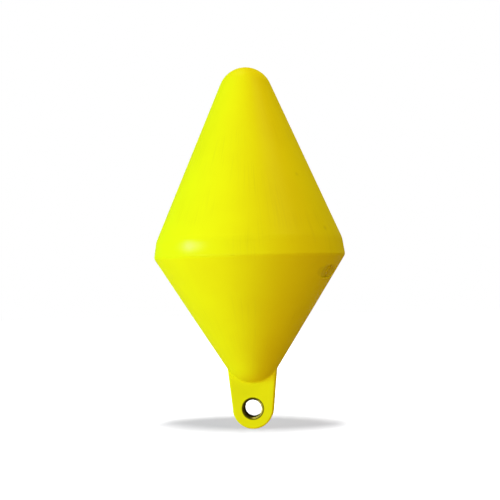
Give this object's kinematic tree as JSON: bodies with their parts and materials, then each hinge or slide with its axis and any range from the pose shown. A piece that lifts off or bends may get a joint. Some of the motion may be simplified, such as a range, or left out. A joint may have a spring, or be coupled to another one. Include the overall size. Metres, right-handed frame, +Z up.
{
  "type": "biconical navigation marker buoy",
  "caption": "Foam-filled moulded float, a tall cone over a shorter inverted cone with a belt between them, and a flat mooring lug below with a steel-bushed eye.",
  "frame": {"origin": "middle of the parting plane at the foot of the belt, the nominal waterline of the moored buoy", "axes": "+Z up along the buoy's axis, the lug's width along X, the eye along Y, the front towards -Y"},
  "size_m": [0.3988, 0.3988, 0.7569],
  "materials": {
    "float_skin": "rotationally moulded polyethylene, lemon yellow, satin with a fine orange peel",
    "bush_steel": "hot-dip galvanised tube, dulled",
    "plug_plastic": "moulded polyethylene, slightly deeper yellow than the float"
  },
  "bodies": {
    "root": {"upper_shell": "float_skin", "lower_shell": "float_skin", "eye_bush": "bush_steel", "filling_plug": "plug_plastic"}
  },
  "joints": []
}
